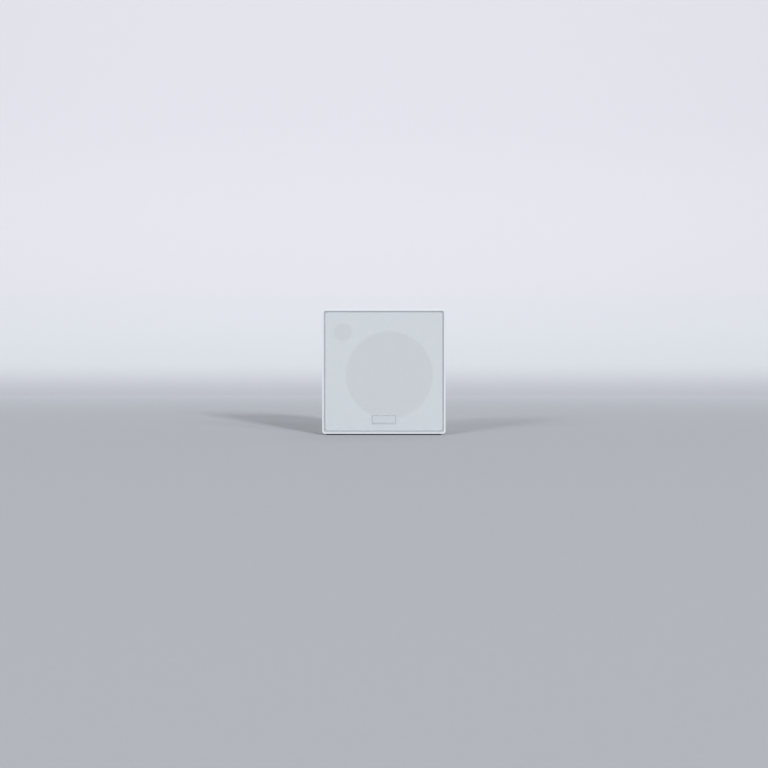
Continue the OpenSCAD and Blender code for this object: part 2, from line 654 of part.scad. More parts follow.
module tweeter_pole_cap() color(steel)
    tweeter_turned([[0, tweeter_face + 0.6], [tweeter_pole_r, tweeter_face + 0.6],
        [tweeter_pole_r, tweeter_face + tweeter_plate_t], [0, tweeter_face + tweeter_plate_t]]);

module tweeter_magnet() color(steel)
    tweeter_turned([[0, tweeter_face + tweeter_plate_t],
        [tweeter_pole_r - 1, tweeter_face + tweeter_plate_t],
        [tweeter_pole_r - 1, tweeter_back - tweeter_base_t], [0, tweeter_back - tweeter_base_t]]);

module tweeter_cup() color(steel)
    tweeter_turned([[0, tweeter_back - tweeter_base_t],
        [tweeter_cup_r - 1.6, tweeter_back - tweeter_base_t],
        [tweeter_cup_r - 1.6, tweeter_face + tweeter_plate_t],
        [tweeter_gap_r, tweeter_face + tweeter_plate_t],
        [tweeter_gap_r, tweeter_face], [tweeter_cup_r, tweeter_face], [tweeter_cup_r, tweeter_back - 0.8],
        [tweeter_cup_r - 0.8, tweeter_back], [0, tweeter_back]]);

module tweeter_terminals() color(brass)
    translate([-tweeter_x, front + tweeter_set + tweeter_back, base_z + tweeter_z]) {
        translate([-9, 0, -4]) cube([18, 1.5, 8]);
        for (s = [-1, 1]) translate([s * 6 - 1.4, 1.5, -0.4]) cube([2.8, 6, 0.8]);
    }

module tweeter_screws() color(dark_steel)
    for (i = [0 : 2]) rotate_about(-tweeter_x, base_z + tweeter_z, i * 120 + 90)
        screw(tweeter_bolt_r, 0, tweeter_set - 1.2, 9, tweeter_screw_r, 2, 1.2);

module terminal_cup() color(rubber_black) difference() {
    union() {
        slab(body_d - cup_flange_t, cup_flange_t) translate([0, base_z + cup_z])
            rounded(cup_w, cup_h, cup_r);
        slab(cup_floor - cup_t, cup_depth) translate([0, base_z + cup_z])
            rounded(cup_pocket_w + 2 * cup_t, cup_pocket_h + 2 * cup_t, 4);
    }
    slab(cup_floor, cup_depth + 1) translate([0, base_z + cup_z]) rounded(cup_pocket_w, cup_pocket_h, 2.5);
    for (x = [-1, 1], z = [-1, 1]) {
        rod(x * cup_screw_x, base_z + cup_z + z * cup_screw_z, body_d - 5, body_d + 1, 1.7);
        translate([x * cup_screw_x, front + body_d, base_z + cup_z + z * cup_screw_z]) rotate([90, 0, 0])
            cylinder(r1 = 3, r2 = 1.7, h = 1.3, $fn = 32);
    }
    for (x = pole_places) translate([x, front + cup_floor, base_z + cup_z])
        cube([pin_w + 0.3, 10, pin_w + 0.3], center = true);
}

module terminal_gasket() color(rubber_black) slab(body_d - cup_flange_t - cup_gasket_t, cup_gasket_t)
    translate([0, base_z + cup_z]) difference() {
        rounded(cup_w - 0.4, cup_h - 0.4, cup_r);
        rounded(cup_pocket_w + 2 * cup_t + 1.4, cup_pocket_h + 2 * cup_t + 1.4, 4);
        for (x = [-1, 1], z = [-1, 1]) translate([x * cup_screw_x, z * cup_screw_z])
            circle(r = 1.9, $fn = 32);
    }

module terminal_screws() color(steel) for (x = [-1, 1], z = [-1, 1])
    translate([x * cup_screw_x, front + body_d - 0.1, base_z + cup_z + z * cup_screw_z]) rotate([90, 0, 0])
        difference() {
            union() {
                cylinder(r1 = 2.7, r2 = 1.4, h = 1.3, $fn = 32);
                cylinder(r = 1.2, h = 6, $fn = 32);
            }
            for (a = [20, 110]) rotate(a) cube([3.2, 0.8, 1.4], center = true);
        }

module connector_header() color(board_green) difference() {
    slab(cup_floor, header_l) translate([0, base_z + cup_z]) rounded(header_w, header_h, 0.8);
    slab(cup_floor + 3, header_l) translate([0, base_z + cup_z])
        rounded(header_w - 2 * header_t, header_h - 2 * header_t, 0.5);
    for (x = pole_places) {
        translate([x, front + cup_floor, base_z + cup_z])
            cube([pin_w + 0.1, 10, pin_w + 0.1], center = true);
        translate([x, front + cup_floor + header_l, base_z + cup_z + header_h / 2])
            cube([2, 4, 4], center = true);
    }
}

module connector_pins() color(brass) for (x = pole_places)
    slab(cup_floor - cup_t - 4, cup_t + header_l + 2) translate([x, base_z + cup_z])
        square(pin_w, center = true);

module crossover_board() color(board_green) translate([-pcb_w / 2, front + pcb_set, pcb_z]) difference() {
    cube([pcb_w, pcb_l, pcb_t]);
    for (p = pcb_corners) translate([p.x + pcb_w / 2, p.y - pcb_set, -1])
        cylinder(r = 1.6, h = 4, $fn = 24);
}

module crossover_standoff_screws() color(steel) for (p = pcb_corners)
    translate([p.x, front + p.y, pcb_top]) {
        cylinder(r1 = 2.8, r2 = 2, h = 1.6, $fn = 32);
        translate([0, 0, -pcb_t - 5]) cylinder(r = 1.2, h = pcb_t + 5, $fn = 24);
    }

module inductors() color(copper) for (c = coils)
    translate([c[0], front + pcb_set + c[1], pcb_top]) rotate_extrude($fn = 64) polygon([[0.42 * c[2], 0],
        [c[2] - 1, 0], [c[2], 1], [c[2], c[3] - 1], [c[2] - 1, c[3]], [0.42 * c[2], c[3]]]);

module capacitors() color(film_yellow) for (c = cans)
    translate([c[0] - c[3] / 2, front + pcb_set + c[1], pcb_top + c[2]]) rotate([0, 90, 0])
        cylinder(r = c[2], h = c[3], $fn = 48);

module resistor() color(cement_white)
    translate([block_at[0], front + pcb_set + block_at[1], pcb_top]) cube(block);

module input_wires() color(wire_red) for (i = [0, 1])
    wire([at((i * 2 - 1) * pole_pitch / 2, cup_floor - cup_t - 2.5, base_z + cup_z - 0.6),
        at((i * 2 - 1) * pole_pitch / 2, cup_floor - cup_t - 3, base_z + cup_z - 16),
        at((i * 2 - 1) * 5, cup_floor - cup_t - 9, pcb_top + 22),
        at((i * 2 - 1) * 5, cup_floor - cup_t - 6, pcb_top + 0.2)], wire_r);

module woofer_wires() color(wire_black) for (s = [-1, 1])
    wire([at(woofer_x + s * 8, woofer_set + strip_depth + 2.1, base_z + woofer_z + strip_z - 3),
        at(woofer_x + s * 7, pcb_set + 6, base_z + woofer_z + strip_z - 10),
        at(woofer_x + s * 5, pcb_set + 3, pcb_top + 8),
        at(woofer_x + s * 5, pcb_set + 3, pcb_top + 0.2)], wire_r);

module tweeter_wires() color(wire_blue) for (s = [-1, 1])
    wire([at(-tweeter_x + s * 6, tweeter_set + tweeter_back + 7, base_z + tweeter_z - 1.4),
        at(-tweeter_x - 12 + s * 3, 62, base_z + tweeter_z - 34),
        at(-tweeter_x - 12 + s * 3, 62, pcb_top + 26),
        at(-pcb_w / 2 + 5 + s * 2, pcb_set + 22, pcb_top + 14),
        at(-pcb_w / 2 + 5 + s * 2, pcb_set + 22, pcb_top + 0.2)], wire_r);

module damping_pad() color(felt_grey)
    translate([inner_w / 2 - 6, front + ledge_set + 12, base_z + 0.26 * body_h])
        cube([6, back_face - ledge_set - 20, 0.2 * body_h]);

cabinet();
feet();
threaded_inserts();
grille_cloth();
grille_board();
grille_pegs();
peg_sockets();
badge();
baffle();
baffle_gasket();
baffle_screws();
woofer_basket();
woofer_gasket();
woofer_surround();
woofer_cone();
woofer_dust_cap();
woofer_former();
woofer_voice_coil();
woofer_spider();
woofer_top_plate();
woofer_magnet();
woofer_yoke();
woofer_terminals();
woofer_tinsel_leads();
woofer_screws();
tweeter_flange();
tweeter_surround();
tweeter_dome();
tweeter_coil();
tweeter_pole_cap();
tweeter_magnet();
tweeter_cup();
tweeter_terminals();
tweeter_screws();
terminal_cup();
terminal_gasket();
terminal_screws();
connector_header();
connector_pins();
crossover_board();
crossover_standoff_screws();
inductors();
capacitors();
resistor();
input_wires();
woofer_wires();
tweeter_wires();
damping_pad();
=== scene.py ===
# %% [markdown]
# A square two-way wall loudspeaker, dressed for its portrait
#
# The exact shapes of this loudspeaker come from a CAD model, packed as a fixed frame. This lesson gives
# each of them a believable surface, adds the soft pieces that CAD draws too stiffly, and sets up a small
# photo studio. Everything is in metres. X runs to the right as seen from the front, Y runs away from us,
# and Z runs up.

# %% Bring in the loudspeaker
import math
import bmesh
import bpy
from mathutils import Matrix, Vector, noise


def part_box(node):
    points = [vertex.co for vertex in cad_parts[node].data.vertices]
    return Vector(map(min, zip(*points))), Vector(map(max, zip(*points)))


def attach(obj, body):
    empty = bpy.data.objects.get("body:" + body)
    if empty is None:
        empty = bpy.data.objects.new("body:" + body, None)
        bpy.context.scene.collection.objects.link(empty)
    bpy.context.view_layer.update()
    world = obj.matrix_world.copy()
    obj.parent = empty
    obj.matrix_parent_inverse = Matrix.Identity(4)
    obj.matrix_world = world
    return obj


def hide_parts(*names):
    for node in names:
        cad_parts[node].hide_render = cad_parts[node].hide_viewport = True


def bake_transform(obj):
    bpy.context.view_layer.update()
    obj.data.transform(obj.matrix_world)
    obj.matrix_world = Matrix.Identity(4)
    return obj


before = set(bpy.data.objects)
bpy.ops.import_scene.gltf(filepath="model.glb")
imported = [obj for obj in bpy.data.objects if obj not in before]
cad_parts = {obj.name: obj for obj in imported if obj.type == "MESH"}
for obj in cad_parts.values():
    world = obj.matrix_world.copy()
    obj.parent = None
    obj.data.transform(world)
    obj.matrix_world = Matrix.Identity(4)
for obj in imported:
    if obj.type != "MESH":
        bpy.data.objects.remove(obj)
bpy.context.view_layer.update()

# %% [markdown]
# The camera
#
# The loudspeaker is seen dead straight on, small in the middle of a square picture, so the sides never
# show. A camera that is level, centred on X and a little below the middle of the box gives that view. A
# long lens from two and a half metres away keeps the front square, as a product photographer would.

# %% Place the camera
def put_in_scene(name, data):
    """A new object in the scene, which carries a mesh, a lamp or a camera."""
    thing = bpy.data.objects.new(name, data)
    bpy.context.scene.collection.objects.link(thing)
    return thing


eye = bpy.data.cameras.new("portrait_camera")
eye.lens = 70.0
eye.sensor_width = 36.0
eye_shift = 0.0002
eye_distance = 2.578
eye_height = 0.0863
camera = put_in_scene("portrait_camera", eye)
camera.location = (eye_shift, -eye_distance, eye_height)
camera.rotation_euler = (math.radians(90), 0, 0)
bpy.context.scene.camera = camera
print("camera stands", eye_distance, "m in front of the middle of the box")

# %% [markdown]
# The studio
#
# A pale floor that curves up into a wall, with no corner in between, gives a soft horizon. Here it is made
# as a very wide shallow bowl, so that the same background stands behind the loudspeaker from every side.
# Its profile is a short list of radius and height, turned round the upright axis. The flat floor and the
# wall that sweeps up from it are two sheets that meet, because the floor gets lamps of its own later.

# %% Shape the studio bowl
def turned_sheet(name, profile, sides=96):
    """A sheet swept round the Z axis from [radius, height] pairs."""
    points = [(r * math.cos(2 * math.pi * k / sides), r * math.sin(2 * math.pi * k / sides), h)
              for r, h in profile for k in range(sides)]
    faces = [(i * sides + k, i * sides + (k + 1) % sides,
              (i + 1) * sides + (k + 1) % sides, (i + 1) * sides + k)
             for i in range(len(profile) - 1) for k in range(sides)]
    mesh = bpy.data.meshes.new(name)
    mesh.from_pydata(points, [], faces)
    mesh.shade_smooth()
    sheet = put_in_scene(name, mesh)
    print(name, "faces:", len(mesh.polygons))
    return sheet


floor_edge = 9.0
sweep_radius = 2.5
sweep_steps = 12
wall_top = 6.0
sweep_angles = [a * math.pi / (2 * sweep_steps) for a in range(sweep_steps + 1)]
sweep = [(floor_edge + sweep_radius * math.sin(a), sweep_radius - sweep_radius * math.cos(a))
         for a in sweep_angles]
studio_floor = turned_sheet("studio_floor", [(r, 0.0) for r in (0.001, 1.0, 4.0, floor_edge)])
studio_wall = turned_sheet("studio_wall", sweep + [(floor_edge + sweep_radius, wall_top)])

# %% [markdown]
# Mixing a finish
#
# Every surface below is a Principled shader with a few patterns plugged into it. Building node trees by
# hand is wordy, so this small helper keeps the recipe readable: one call adds a grain, another turns a
# grain into two tones of colour, another presses it into the surface as relief. All patterns are laid out
# in the object's own metres, so a grain size is a real size. Colours are given as they look on a screen,
# from 0 to 255.

# %% A helper for mixing finishes
def paint(red, green, blue):
    """A screen colour turned into the light values that a shader wants."""
    parts = [c / 255 for c in (red, green, blue)]
    return tuple(c / 12.92 if c <= 0.04045 else ((c + 0.055) / 1.055) ** 2.4 for c in parts) + (1.0,)


class Finish:
    """One material being mixed: its shader, and the patterns that steer it."""

    def __init__(self, name, colour, roughness=0.5, metal=0.0):
        self.material = bpy.data.materials.new(name)
        self.material.use_nodes = True
        self.tree = self.material.node_tree
        self.shader = self.tree.nodes["Principled BSDF"]
        self.colour = colour
        self.shader.inputs["Base Color"].default_value = colour
        self.shader.inputs["Roughness"].default_value = roughness
        self.shader.inputs["Metallic"].default_value = metal
        self.place = self.tree.nodes.new("ShaderNodeTexCoord").outputs["Object"]
        self.split = None
        self.normal = None

    def put(self, value, socket):
        """A number is typed into a socket, and another node's output is plugged into it."""
        if isinstance(value, bpy.types.NodeSocket):
            self.tree.links.new(value, socket)
        else:
            socket.default_value = value

    def axis(self, letter):
        """The place along X, Y or Z, in metres."""
        if self.split is None:
            self.split = self.tree.nodes.new("ShaderNodeSeparateXYZ")
            self.put(self.place, self.split.inputs[0])
        return self.split.outputs[letter]

    def sum(self, operation, a, b=0.0):
        """One step of arithmetic, such as ADD, MULTIPLY or SINE."""
        step = self.tree.nodes.new("ShaderNodeMath")
        step.operation = operation
        self.put(a, step.inputs[0])
        self.put(b, step.inputs[1])
        return step.outputs[0]

    def grain(self, size, detail=2.0, stretch=(1.0, 1.0, 1.0)):
        """Soft random spots about size metres apart. A stretch under 1 draws them out along that axis."""
        where = self.place
        if stretch != (1.0, 1.0, 1.0):
            scale = self.tree.nodes.new("ShaderNodeVectorMath")
            scale.operation = "MULTIPLY"
            self.put(where, scale.inputs[0])
            scale.inputs[1].default_value = stretch
            where = scale.outputs[0]
        spots = self.tree.nodes.new("ShaderNodeTexNoise")
        self.put(where, spots.inputs["Vector"])
        spots.inputs["Scale"].default_value = 1 / size
        spots.inputs["Detail"].default_value = detail
        return spots.outputs["Fac"]

    def span(self, value, low, high, first=0.0, last=1.0):
        """A value that goes smoothly from first to last as the input goes from low to high."""
        fade = self.tree.nodes.new("ShaderNodeMapRange")
        fade.interpolation_type = "SMOOTHSTEP"
        self.put(value, fade.inputs["Value"])
        for name, number in (("From Min", low), ("From Max", high), ("To Min", first), ("To Max", last)):
            fade.inputs[name].default_value = number
        return fade.outputs["Result"]

    def from_centre(self, x, z):
        """The distance from an axis that runs front to back through x and z."""
        across = self.sum("SUBTRACT", self.axis("X"), x)
        up = self.sum("SUBTRACT", self.axis("Z"), z)
        square = self.sum("ADD", self.sum("MULTIPLY", across, across), self.sum("MULTIPLY", up, up))
        return self.sum("SQRT", square)

    def to_faces(self, letter, low, high):
        """The distance to the nearer of two opposite faces, which lie at low and high along one axis."""
        half = (high - low) / 2
        off_middle = self.sum("ABSOLUTE", self.sum("SUBTRACT", self.axis(letter), low + half))
        return self.sum("SUBTRACT", half, off_middle)

    def tone(self, amount, dark, light):
        """The base colour made darker or lighter by a pattern: dark and light are factors such as 0.9."""
        factor = self.span(amount, 0.0, 1.0, dark, light)
        mixer = self.tree.nodes.new("ShaderNodeVectorMath")
        mixer.operation = "SCALE"
        came = self.shader.inputs["Base Color"].links
        self.put(came[0].from_socket if came else self.colour[:3], mixer.inputs[0])
        self.put(factor, mixer.inputs["Scale"])
        self.put(mixer.outputs[0], self.shader.inputs["Base Color"])

    def blotch(self, amount, other):
        """Goes over to another colour where a pattern is 1."""
        mixer = self.tree.nodes.new("ShaderNodeMix")
        mixer.data_type = "RGBA"
        came = self.shader.inputs["Base Color"].links
        self.put(came[0].from_socket if came else self.colour, mixer.inputs[6])
        mixer.inputs[7].default_value = other
        self.put(amount, mixer.inputs[0])
        self.put(mixer.outputs[2], self.shader.inputs["Base Color"])

    def gloss(self, amount, low, high):
        """Roughness from low to high, as a pattern goes from 0 to 1."""
        self.put(self.span(amount, 0.0, 1.0, low, high), self.shader.inputs["Roughness"])

    def relief(self, height, depth):
        """Presses a pattern into the surface, up to depth metres."""
        bump = self.tree.nodes.new("ShaderNodeBump")
        bump.inputs["Strength"].default_value = 1.0
        bump.inputs["Distance"].default_value = depth
        self.put(height, bump.inputs["Height"])
        if self.normal is not None:
            self.put(self.normal, bump.inputs["Normal"])
        self.normal = bump.outputs["Normal"]
        self.put(self.normal, self.shader.inputs["Normal"])

    def on(self, *names):
        """Gives this finish to CAD parts, by name."""
        for name in names:
            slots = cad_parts[name].data.materials
            slots.clear()
            slots.append(self.material)
        print(self.material.name, "on", ", ".join(names))


print("a finish can be mixed from:", ", ".join(m for m in vars(Finish) if not m.startswith("_")))

# %% [markdown]
# Studio light
#
# The light should be plain, so that a colour looks as it was mixed. An even white sky does most of the
# work. Two lamps low on either side of the camera brighten the front, and a third behind keeps the back
# from going dull. They are suns, whose light is as strong far away as near, so the floor keeps one tone.
# The wall would stand in their way, so it casts no shadow.

# %% Hang the sky and the lamps
sky = bpy.data.worlds.new("even_sky")
sky.use_nodes = True
glow = sky.node_tree.nodes["Background"]
glow.inputs["Color"].default_value = (1.0, 0.975, 0.94, 1.0)
glow.inputs["Strength"].default_value = 0.74
bpy.context.scene.world = sky
lamp_distance = 3


def far_lamp(name, azimuth, elevation, strength, softness):
    """A lamp far away. Azimuth 0 shines on the front and 90 on the right side; softness is in degrees."""
    light = bpy.data.lights.new(name, "SUN")
    light.energy = strength
    light.angle = math.radians(softness)
    lamp = put_in_scene(name, light)
    a, e = math.radians(azimuth), math.radians(elevation)
    towards = Vector((math.sin(a) * math.cos(e), -math.cos(a) * math.cos(e), math.sin(e)))
    lamp.location = towards * lamp_distance
    lamp.rotation_euler = towards.to_track_quat("Z", "Y").to_euler()
    print(name, "shines down at", elevation, "degrees with strength", strength)
    return lamp


far_lamp("lamp_right", azimuth=22, elevation=14, strength=1.00, softness=8)
far_lamp("lamp_left", azimuth=-24, elevation=14, strength=0.80, softness=8)
far_lamp("lamp_behind", azimuth=170, elevation=38, strength=0.40, softness=30)
studio_wall.visible_shadow = False

# %% [markdown]
# Long shadows
#
# In such a picture the floor shows two long, soft, low shadows that run back on both sides. Lamps low
# enough for that would drown the front in light before the floor had enough for a shadow to show. So two
# more lamps are linked to the floor alone: the loudspeaker blocks their light, but only the floor receives
# it. The lamp on the right is the lower and stronger one, so the shadow on the left is the longer and
# darker one.

# %% Lamps for the floor's shadows
floor_only = bpy.data.collections.new("floor_only")
floor_only.objects.link(studio_floor)
for lamp in (far_lamp("shadow_lamp_right", azimuth=13, elevation=6.7, strength=9.0, softness=4),
             far_lamp("shadow_lamp_left", azimuth=-16, elevation=9.5, strength=3.0, softness=6)):
    lamp.light_linking.receiver_collection = floor_only

# %% [markdown]
# Paper on the floor and the wall
#
# The studio is lined with matt paper. The floor is a middle grey, with painted light that makes it a little
# lighter towards its far edge. The wall is painted darkest where it leaves the floor and brighter with
# height, a painted light that stands in for a real backdrop turning up into the light. That gives the soft
# horizon of such pictures.

# %% Colour the studio
def studio_paper(name, colour, sheet):
    """Matt seamless paper with a hint of grain, and no shine at a low angle."""
    paper = Finish(name, colour, roughness=0.9)
    paper.shader.inputs["Specular IOR Level"].default_value = 0.0
    paper.tone(paper.grain(0.004), 0.992, 1.008)
    sheet.data.materials.append(paper.material)
    print(name, "laid on", sheet.name)
    return paper


floor_paper = studio_paper("floor_paper", paint(151, 155, 161), studio_floor)
squares = [floor_paper.sum("POWER", floor_paper.axis(letter), 2.0) for letter in ("X", "Y")]
from_middle = floor_paper.sum("SQRT", floor_paper.sum("ADD", *squares))
# Painted light: the floor's colour gets lighter towards its far edge.
floor_paper.blotch(floor_paper.span(from_middle, 0.0, floor_edge), paint(163, 167, 175))
wall_paper = studio_paper("wall_paper", paint(191, 195, 203), studio_wall)
# Painted light: the wall's colour is darkest at the floor and brightens with height.
for low, high, tone in ((0.0, 0.27, paint(212, 217, 223)), (0.4, 1.2, paint(215, 215, 222))):
    wall_paper.blotch(wall_paper.span(wall_paper.axis("Z"), low, high), tone)

# %% [markdown]
# The moulded cabinet
#
# The box of such a loudspeaker is moulded in off-white plastic. It comes out of its mould with a fine, even
# texture that takes the shine off, and with very slight unevenness of tone across its large walls. Two
# grains do that: a small one for the moulded texture, and one as wide as a hand for the slow change of
# tone.
#
# Handling rubs the texture down along the edges first. A place on a box is near an edge when it is close to
# two of its faces at once, so the second smallest of its three distances to the faces finds the edges. A
# coarse grain breaks the rubbed line up.

# %% Off-white moulded plastic
shell = Finish("moulded_shell", paint(220, 225, 231), roughness=0.5)
shell.tone(shell.grain(0.09, detail=3.0), 0.982, 1.014)
shell.tone(shell.grain(0.0010, detail=4.0), 0.955, 1.035)
shell_low, shell_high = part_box("cabinet")
beside = shell.to_faces("X", shell_low.x, shell_high.x)
behind = shell.to_faces("Y", shell_low.y, shell_high.y)
above = shell.to_faces("Z", shell_low.z, shell_high.z)
second = shell.sum("MAXIMUM", shell.sum("MINIMUM", beside, behind),
                   shell.sum("MINIMUM", shell.sum("MAXIMUM", beside, behind), above))
raggedness = 0.004
ragged = shell.sum("ADD", second, shell.sum("MULTIPLY", shell.grain(0.006, detail=4.0), raggedness))
rubbed_until, rubbed_no_more = 0.0018, 0.0042
rubbed = shell.span(ragged, rubbed_until, rubbed_no_more, 1.0, 0.0)
shell.blotch(shell.sum("MULTIPLY", rubbed, 0.5), paint(229, 232, 235))
mould_texture = shell.grain(0.0011, detail=3.0)
shell.gloss(shell.sum("SUBTRACT", mould_texture, shell.sum("MULTIPLY", rubbed, 0.3)), 0.36, 0.60)
shell.relief(shell.grain(0.0010, detail=3.0), 0.00010)
shell.on("cabinet")

# %% [markdown]
# The tray behind the grille
#
# The baffle's raised edge floors the narrow groove round the grille. It is moulded in the same plastic, but
# its colour is painted a shade greyer as painted shade in the groove, so the grille is framed by a thin
# darker line.

# %% Painted shade in the groove
# Painted shade: the groove's floor is coloured greyer than the cabinet's plastic to stand in for the shade in
# the groove.
tray_painted_shade = Finish("moulded_tray_painted_shade", paint(196, 201, 207), roughness=0.62)
tray_painted_shade.tone(tray_painted_shade.grain(0.005, detail=4.0), 0.94, 1.04)
tray_painted_shade.tone(tray_painted_shade.grain(0.0009, detail=4.0), 0.95, 1.03)
tray_painted_shade.relief(tray_painted_shade.grain(0.0010, detail=3.0), 0.00008)
tray_painted_shade.on("baffle")

# %% [markdown]
# The grille cloth
#
# The front is a panel with cloth drawn tight over it, folded round its edges and glued behind. CAD can only
# show that as a hard skin, so here the cloth is built again as one thin sheet: a flat front, a rounded
# edge, a short side and a lip behind the panel. Cloth has to be tucked at the corners, so small folds run
# over each of them, and over the two round openings it sinks very slightly, because nothing backs it there.

# %% Lay out the flat front of the cloth
skin_low, skin_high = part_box("grille_cloth")
side_room = 0.0003
cloth_width = skin_high.x - skin_low.x + 2 * side_room
cloth_height = skin_high.z - skin_low.z + 2 * side_room
cloth_depth = skin_high.y - skin_low.y
cloth_middle = (skin_low.z + skin_high.z) / 2
front_edge = 0.0013
back_edge = 0.0008
flat_corner = 0.0028
grid_step = 0.0026
corner_lines = 6
sink_inside, sink_fade = 0.006, 0.007
woofer_spot, woofer_opening = (0.0092, 0.1014), 0.0735
tweeter_spot, tweeter_opening = (-0.0693, 0.1738), 0.0160


def grid_lines(half):
    """Places of the grid lines over a length, close together at both ends for the corners."""
    inner = half - flat_corner
    count = round(2 * inner / grid_step)
    ends = [inner + flat_corner * i / corner_lines for i in range(1, corner_lines + 1)]
    return [-e for e in reversed(ends)] + [-inner + 2 * inner * i / count for i in range(count + 1)] + ends


def into_corner(a, b, half_a, half_b):
    """Rounds the corner of the flat front, by squeezing the last small square into a quarter circle."""
    u = (abs(a) - half_a + flat_corner) / flat_corner
    v = (abs(b) - half_b + flat_corner) / flat_corner
    if u <= 0 or v <= 0:
        return a, b
    new_u, new_v = u * math.sqrt(1 - v * v / 2), v * math.sqrt(1 - u * u / 2)
    return (math.copysign(half_a - flat_corner + flat_corner * new_u, a),
            math.copysign(half_b - flat_corner + flat_corner * new_v, b))


def ease(t):
    """A smooth step from 0 to 1."""
    t = min(max(t, 0.0), 1.0)
    return t * t * (3 - 2 * t)


def sink(x, z):
    """How far the cloth sinks over the openings, in metres."""
    depth = 0.0
    for spot, radius, most in ((woofer_spot, woofer_opening, 0.00016),
                               (tweeter_spot, tweeter_opening, 0.00010)):
        gap = math.hypot(x - spot[0], z - spot[1])
        depth += most * (1 - ease((gap - radius + sink_inside) / sink_fade))
    return depth


half_x = cloth_width / 2 - front_edge
half_z = cloth_height / 2 - front_edge
columns, rows = grid_lines(half_x), grid_lines(half_z)
print("cloth front:", len(columns), "by", len(rows), "grid lines")

# %% [markdown]
# The cloth's edge
#
# From the border of the flat front the sheet rolls round the panel's front edge, runs back along its side,
# rolls round the back edge and ends in a narrow glued lip. The same few steps are taken from every point of
# the border, straight outward on the four sides and fanned out at the corners, where three small tucks take
# up the spare cloth. The flat size of the piece is the front plus that way round on each side. The Solidify
# modifier gives the sheet its thickness.

# %% Wrap the cloth round the panel
lip_step, lip_steps = 0.001, 3
corner_tucks = 3
tuck_depth = 0.00022
cloth_thickness = 0.0006
rounding, touching = 1e-9, 1e-7


def edge_profile():
    """Steps from the flat front round to the glued lip, each [outward, backward, share of a full tuck]."""
    steps = []
    for a in range(15, 91, 15):
        bend = math.radians(a)
        steps.append((front_edge * math.sin(bend), front_edge * (1 - math.cos(bend)), a / 90))
    side = cloth_depth - back_edge
    steps += [(front_edge, front_edge + (side - front_edge) * i / 3, 1.0) for i in (1, 2, 3)]
    for a in (30, 60, 90):
        bend = math.radians(a)
        steps.append((front_edge - back_edge * (1 - math.cos(bend)),
                      side + back_edge * math.sin(bend), 1 - a / 90))
    steps += [(front_edge - back_edge - lip_step * i, cloth_depth, 0.0) for i in range(1, lip_steps + 1)]
    return steps


def outward(x, z):
    """Which way the edge faces at a point of the flat front's border, and how deep a tuck runs there."""
    over_x, over_z = abs(x) - (half_x - flat_corner), abs(z) - (half_z - flat_corner)
    if over_x > rounding and over_z > rounding:
        way = Vector((math.copysign(over_x, x), math.copysign(over_z, z))).normalized()
        angle = math.atan2(over_z, over_x)
        return way, 0.5 - 0.5 * math.cos(4 * corner_tucks * angle)
    if half_x - abs(x) < touching:
        return Vector((math.copysign(1, x), 0.0)), 0.0
    return Vector((0.0, math.copysign(1, z))), 0.0


points, faces = [], []
for b in rows:
    for a in columns:
        x, z = into_corner(a, b, half_x, half_z)
        points.append((x, skin_low.y + sink(x, z + cloth_middle), z + cloth_middle))
wide, tall = len(columns), len(rows)
faces += [(j * wide + i, j * wide + i + 1, (j + 1) * wide + i + 1, (j + 1) * wide + i)
          for j in range(tall - 1) for i in range(wide - 1)]
border = ([i for i in range(wide)] + [j * wide + wide - 1 for j in range(1, tall)]
          + [(tall - 1) * wide + i for i in range(wide - 2, -1, -1)]
          + [j * wide for j in range(tall - 2, 0, -1)])
ring = border
for out, back, tuck_share in edge_profile():
    start = len(points)
    for index in border:
        x, _, z = points[index]
        way, tuck = outward(x, z - cloth_middle)
        reach = out - tuck_depth * tuck * tuck_share
        points.append((x + way.x * reach, skin_low.y + back, z + way.y * reach))
    fresh = list(range(start, start + len(border)))
    faces += [(ring[k], fresh[k], fresh[(k + 1) % len(ring)], ring[(k + 1) % len(ring)])
              for k in range(len(ring))]
    ring = fresh
cloth_mesh = bpy.data.meshes.new("front_cloth")
cloth_mesh.from_pydata(points, [], faces)
cloth_mesh.validate()
work = bmesh.new()
work.from_mesh(cloth_mesh)
bmesh.ops.recalc_face_normals(work, faces=work.faces[:])
work.faces.ensure_lookup_table()
if work.faces[0].normal.y > 0:
    bmesh.ops.reverse_faces(work, faces=work.faces[:])
cloth_area = sum(f.calc_area() for f in work.faces)
work.to_mesh(cloth_mesh)
work.free()
cloth_mesh.shade_smooth()
cloth = put_in_scene("front_cloth", cloth_mesh)
body = cloth.modifiers.new("cloth_thickness", "SOLIDIFY")
body.thickness = cloth_thickness
body.offset = -1.0
print("the sheet measures", round(1e4 * cloth_area), "square cm")
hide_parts("grille_cloth")
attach(cloth, "speaker")

# %% [markdown]
# Weave and the shadows of the two drive units
#
# Grille cloth is a plain weave, open enough to let sound through. Each thread is a row of small hills, over
# its neighbours in one place and under them in the next, which two sine waves make when they are
# multiplied. Threads are never quite straight, so a wide soft grain pushes them a little to and fro first.
# Behind the two openings there is no panel, so less light comes back through the weave and each shows as a
# faint, soft disc. That is drawn as a small change of tone by distance from each centre, because real
# see-through threads would cost a great deal of render time for the same look.

